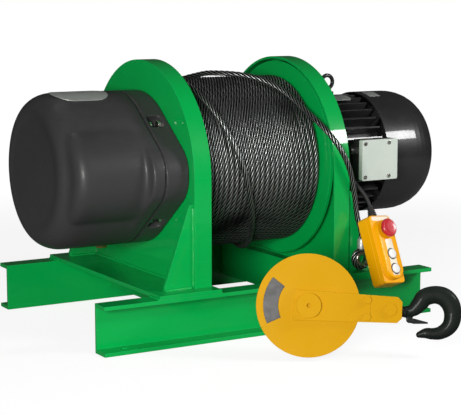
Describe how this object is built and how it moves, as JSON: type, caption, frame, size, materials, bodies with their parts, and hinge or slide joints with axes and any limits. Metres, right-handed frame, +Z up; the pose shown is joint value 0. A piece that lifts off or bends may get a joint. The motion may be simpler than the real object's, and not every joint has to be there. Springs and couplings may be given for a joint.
{
  "type": "electric winch",
  "caption": "Electric winch with a rope drum between two steel cheeks, a gearbox, a finned motor, a hand pendant on a cable and a separate hook block.",
  "frame": {"origin": "middle of the base on the ground, midway between the four base bolt holes", "axes": "+X along the drum from the gearbox to the motor, +Y to the rear, +Z up"},
  "size_m": [0.958, 0.8949, 0.5619],
  "materials": {
    "green": "glossy green enamel over steel",
    "gearbox_paint": "glossy grey-black enamel over cast iron",
    "motor_paint": "black enamel over cast aluminium and sheet",
    "bare_steel": "ground or turned steel",
    "zinc_steel": "zinc plated steel",
    "bearing_steel": "polished bearing steel",
    "rope_steel": "dark greased wire rope",
    "gasket": "flat seal",
    "silver_plate": "bare bent sheet",
    "plug_brass": "oil plugs",
    "coil_copper": "wound stator",
    "laminations": "stacked core sheets",
    "fan_plastic": "moulded fan",
    "box_grey": "pale grey moulded box",
    "black_plastic": "black moulded parts",
    "black_rubber": "boot and cable jacket",
    "amber_plastic": "amber moulded shell",
    "red_plastic": "red mushroom head",
    "white_plastic": "white push buttons",
    "block_yellow": "yellow enamel over steel plate",
    "forged_black": "dark enamel over a forging"
  },
  "bodies": {
    "frame": {"front_channel": "green", "rear_channel": "green", "left_cross_plate": "green", "right_cross_plate": "green", "left_cheek": "green", "right_cheek": "green", "left_cheek_band": "green", "right_cheek_band": "green", "gussets": "green", "gearbox_housing": "gearbox_paint", "gearbox_cover": "gearbox_paint", "gearbox_gasket": "gasket", "gearbox_bolts": "zinc_steel", "oil_plugs": "plug_brass", "nameplates": "silver_plate", "ball_bearings": "bearing_steel", "motor_frame": "motor_paint", "motor_front_shield": "motor_paint", "motor_rear_shield": "motor_paint", "stator": "coil_copper", "brake_magnet": "motor_paint", "fan_cowl": "motor_paint", "lifting_eye": "motor_paint", "motor_bolts": "zinc_steel", "terminal_box": "motor_paint", "terminal_lid": "box_grey", "terminal_screws": "zinc_steel", "cable_gland": "black_plastic", "pendant_front": "amber_plastic", "pendant_back": "amber_plastic", "pendant_boot": "black_rubber", "switch_block": "black_plastic", "pendant_cable": "black_rubber", "rope_tail": "rope_steel", "rope_eye": "zinc_steel"},
    "drum": {"drum_shell": "green", "drum_flange_left": "green", "drum_flange_right": "green", "drum_hubs": "green", "output_gear": "bare_steel", "rope_core": "rope_steel", "rope_winding": "rope_steel", "rope_clamp": "bare_steel"},
    "rotor": {"drive_shaft": "bare_steel", "rotor_core": "laminations", "cooling_fan": "fan_plastic", "brake_disc": "bare_steel"},
    "gear_shaft": {"countershaft": "bare_steel", "counter_gear": "bare_steel"},
    "stop": {"stop_button": "red_plastic"},
    "up": {"up_button": "white_plastic"},
    "down": {"down_button": "white_plastic"},
    "hook_block": {"block_front_plate": "block_yellow", "block_rear_plate": "block_yellow", "sheave_pin": "block_yellow", "block_bolts": "zinc_steel"},
    "rope_sheave": {"sheave": "bare_steel"},
    "hook_crosshead": {"crosshead": "bare_steel"},
    "load_hook": {"hook": "forged_black"},
    "latch": {"hook_latch": "zinc_steel"}
  },
  "joints": [
    {"name": "drum_spin", "type": "hinge", "parent": "frame", "child": "drum", "pos_m": [0.008, 0, 0.335], "axis": [1, 0, 0], "continuous": true},
    {"name": "rotor_spin", "type": "hinge", "parent": "frame", "child": "rotor", "pos_m": [0.292, 0, 0.335], "axis": [1, 0, 0], "continuous": true},
    {"name": "gear_shaft_spin", "type": "hinge", "parent": "frame", "child": "gear_shaft", "pos_m": [-0.3, -0.0975, 0.335], "axis": [1, 0, 0], "continuous": true},
    {"name": "stop_press", "type": "slide", "parent": "frame", "child": "stop", "axis": [-0.1807, 0.8881, -0.4226], "range_m": [0, 0.004], "stiffness_N_per_m": 400, "springref_m": -0.004},
    {"name": "up_press", "type": "slide", "parent": "frame", "child": "up", "axis": [-0.1807, 0.8881, -0.4226], "range_m": [0, 0.003], "stiffness_N_per_m": 300, "springref_m": -0.003},
    {"name": "down_press", "type": "slide", "parent": "frame", "child": "down", "axis": [-0.1807, 0.8881, -0.4226], "range_m": [0, 0.003], "stiffness_N_per_m": 300, "springref_m": -0.003},
    {"name": "block_lift", "type": "slide", "parent": "frame", "child": "hook_block", "axis": [0, 0, 1], "range_m": [0, 0.4]},
    {"name": "sheave_spin", "type": "hinge", "parent": "hook_block", "child": "rope_sheave", "pos_m": [-0.056, -0.462, 0.10156], "axis": [0.4987, 0.8415, -0.2079], "continuous": true},
    {"name": "hook_tilt", "type": "hinge", "parent": "hook_block", "child": "hook_crosshead", "pos_m": [0.07886, -0.54392, 0.09347], "axis": [0.4987, 0.8415, -0.2079], "range_deg": [-70, 70]},
    {"name": "hook_swivel", "type": "hinge", "parent": "hook_crosshead", "child": "load_hook", "pos_m": [0.07886, -0.54392, 0.09347], "axis": [0.8331, -0.5315, -0.153], "continuous": true},
    {"name": "latch_open", "type": "hinge", "parent": "load_hook", "child": "latch", "pos_m": [0.10967, -0.56706, 0.07367], "axis": [-0.4987, -0.8415, 0.2079], "range_deg": [0, 26], "stiffness_Nm_per_rad": 0.02, "springref_deg": -28.65}
  ],
  "couplings": [
    {"joint": "rotor_spin", "follows": "drum_spin", "ratio": 25},
    {"joint": "gear_shaft_spin", "follows": "drum_spin", "ratio": -5}
  ]
}
